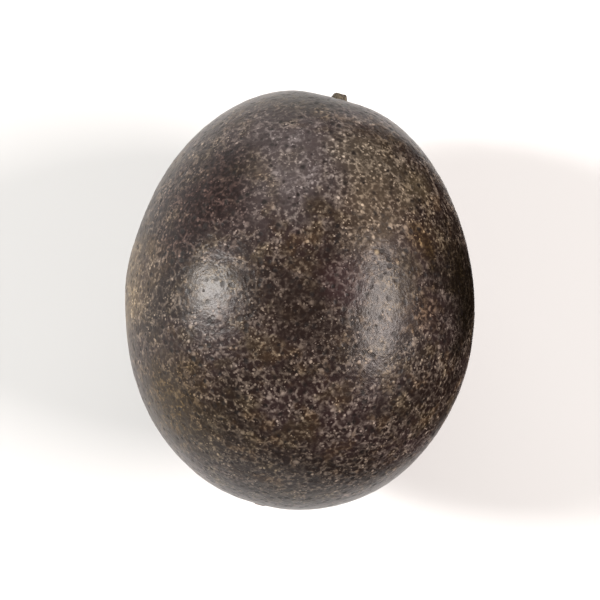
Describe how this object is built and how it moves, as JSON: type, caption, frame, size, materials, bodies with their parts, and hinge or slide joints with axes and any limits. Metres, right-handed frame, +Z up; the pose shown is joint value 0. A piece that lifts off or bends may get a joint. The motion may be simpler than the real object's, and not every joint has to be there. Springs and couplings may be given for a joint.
{
  "type": "passion fruit",
  "caption": "Whole dark purple passion fruit with a speckled leathery rind, a stalk stub and a blossom scar, lying on its side.",
  "frame": {"origin": "on the ground under the middle of the fruit's box, inside the flat spot that it rests on", "axes": "+Y along the length towards the stem end, +Z up, +X to the right seen from above"},
  "size_m": [0.0514, 0.0614, 0.0499],
  "materials": {
    "rind": "dark aubergine rind, satin, with fine tan speckles"
  },
  "bodies": {
    "root": {"passion_fruit": "rind"}
  },
  "joints": []
}
